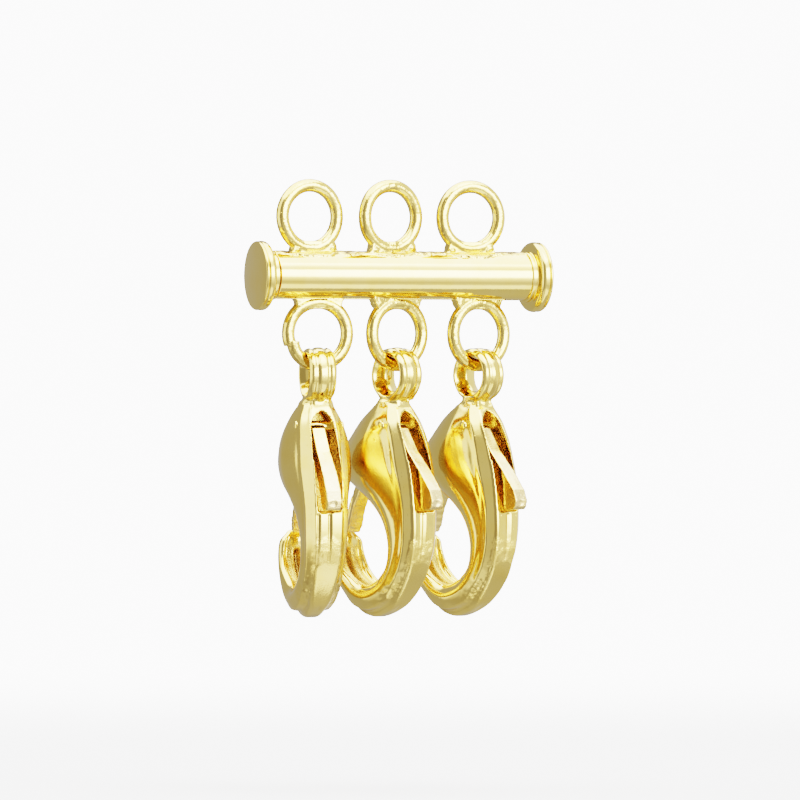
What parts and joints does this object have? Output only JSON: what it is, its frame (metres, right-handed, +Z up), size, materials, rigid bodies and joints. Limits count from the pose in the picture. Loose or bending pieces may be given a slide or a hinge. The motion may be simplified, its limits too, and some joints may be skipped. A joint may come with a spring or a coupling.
{
  "type": "layering clasp",
  "caption": "Slide tube layering clasp in polished gold metal, with rings above and below the tube and trigger claws hanging from the lower rings.",
  "frame": {"origin": "centre of the middle upper ring, which the clasp hangs by", "axes": "+X along the tube to the right cap, +Z up, +Y towards the openings of the claws"},
  "size_m": [0.0187, 0.0096, 0.0259],
  "materials": {
    "polished_gold": "polished gold plating",
    "cast_gold": "polished gold plating on a casting",
    "pale_gold": "brushed pale gold plating"
  },
  "bodies": {
    "tube": {"outer_tube": "polished_gold", "right_cap": "polished_gold"},
    "slider": {"slider": "polished_gold", "left_cap": "polished_gold"},
    "claw_left": {"claw_left": "cast_gold", "pin_left": "cast_gold"},
    "claw_middle": {"claw_middle": "cast_gold", "pin_middle": "cast_gold"},
    "claw_right": {"claw_right": "cast_gold", "pin_right": "cast_gold"},
    "lever_left": {"lever_left": "pale_gold"},
    "lever_middle": {"lever_middle": "pale_gold"},
    "lever_right": {"lever_right": "pale_gold"}
  },
  "joints": [
    {"name": "slider_slide", "type": "slide", "parent": "tube", "child": "slider", "axis": [-1, 0, 0], "range_m": [0, 0.0165]},
    {"name": "claw_left_swing", "type": "hinge", "parent": "slider", "child": "claw_left", "pos_m": [-0.00473, 0, -0.00875], "axis": [1, 0, 0], "range_deg": [-75, 75]},
    {"name": "claw_middle_swing", "type": "hinge", "parent": "slider", "child": "claw_middle", "pos_m": [0.00042, 0, -0.00875], "axis": [1, 0, 0], "range_deg": [-75, 75]},
    {"name": "claw_right_swing", "type": "hinge", "parent": "slider", "child": "claw_right", "pos_m": [0.00577, 0, -0.00875], "axis": [1, 0, 0], "range_deg": [-75, 75]},
    {"name": "lever_left_turn", "type": "hinge", "parent": "claw_left", "child": "lever_left", "pos_m": [-0.00476, -0.0002, -0.01237], "axis": [-0.9848, 0.1736, 0], "range_deg": [0, 25], "stiffness_Nm_per_rad": 0.0001, "springref_deg": -20.05},
    {"name": "lever_middle_turn", "type": "hinge", "parent": "claw_middle", "child": "lever_middle", "pos_m": [0.00046, -0.00019, -0.01237], "axis": [-0.9744, -0.225, 0], "range_deg": [0, 25], "stiffness_Nm_per_rad": 0.0001, "springref_deg": -20.05},
    {"name": "lever_right_turn", "type": "hinge", "parent": "claw_right", "child": "lever_right", "pos_m": [0.00582, -0.00019, -0.01237], "axis": [-0.9659, -0.2588, 0], "range_deg": [0, 25], "stiffness_Nm_per_rad": 0.0001, "springref_deg": -20.05}
  ]
}
